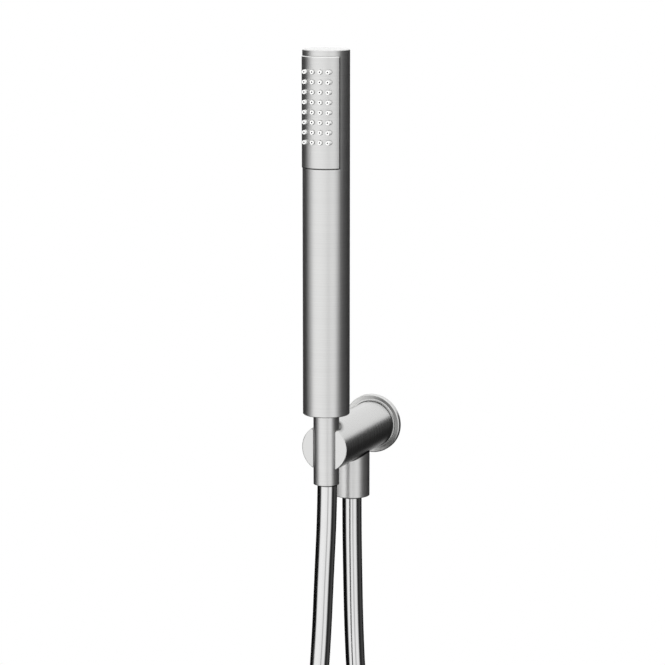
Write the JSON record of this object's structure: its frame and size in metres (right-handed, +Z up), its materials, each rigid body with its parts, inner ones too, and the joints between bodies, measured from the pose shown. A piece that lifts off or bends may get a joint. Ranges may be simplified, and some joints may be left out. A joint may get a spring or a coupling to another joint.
{
  "type": "hand shower kit",
  "caption": "Stick hand shower standing in the slotted end of a round wall outlet arm, with a smooth hose from the arm's spout back to the hand shower's stem.",
  "frame": {"origin": "on the wall plane, at the centre of the cover flange, where the wall thread starts", "axes": "+Y into the wall along the wall thread and the arm, +Z up along the hand shower, +X to the right seen from the room"},
  "size_m": [0.0506, 0.1554, 0.6368],
  "materials": {
    "brushed_steel": "satin, brushed around the axis",
    "plain_steel": "plain",
    "brass": "turned",
    "seal_rubber": "matt",
    "grey_nylon": "matt",
    "inner_plastic": "moulded",
    "white_silicone": "soft, matt",
    "hose_skin": "smooth silver, mirror-like",
    "tie_plastic": "matt"
  },
  "bodies": {
    "wall_outlet": {"outlet_arm": "brushed_steel", "cover_flange": "brushed_steel", "outlet_spout": "brushed_steel", "arm_grub_screw": "plain_steel", "outlet_crimp": "plain_steel", "handset_crimp": "plain_steel", "wall_nipple": "brass", "outlet_hose_tail": "brass", "handset_hose_tail": "brass", "nipple_seal": "seal_rubber", "flange_seal": "seal_rubber", "hose_end_washer": "seal_rubber", "swivel_seal": "seal_rubber", "holder_liner": "grey_nylon", "outlet_hose_leg": "hose_skin", "hose_coil": "hose_skin", "handset_hose_leg": "hose_skin", "hose_tie": "tie_plastic"},
    "hand_shower": {"stem_sleeve": "brushed_steel", "inlet_bush": "brass", "flow_limiter": "grey_nylon", "water_tube": "inner_plastic", "handle_tube": "brushed_steel", "end_cap": "brushed_steel", "spray_plate": "brushed_steel", "nozzle_mat": "white_silicone", "spray_chamber": "inner_plastic"}
  },
  "joints": [
    {"name": "handset_swivel", "type": "hinge", "parent": "wall_outlet", "child": "hand_shower", "pos_m": [0, -0.081, 0], "axis": [0, 0, 1], "continuous": true}
  ]
}
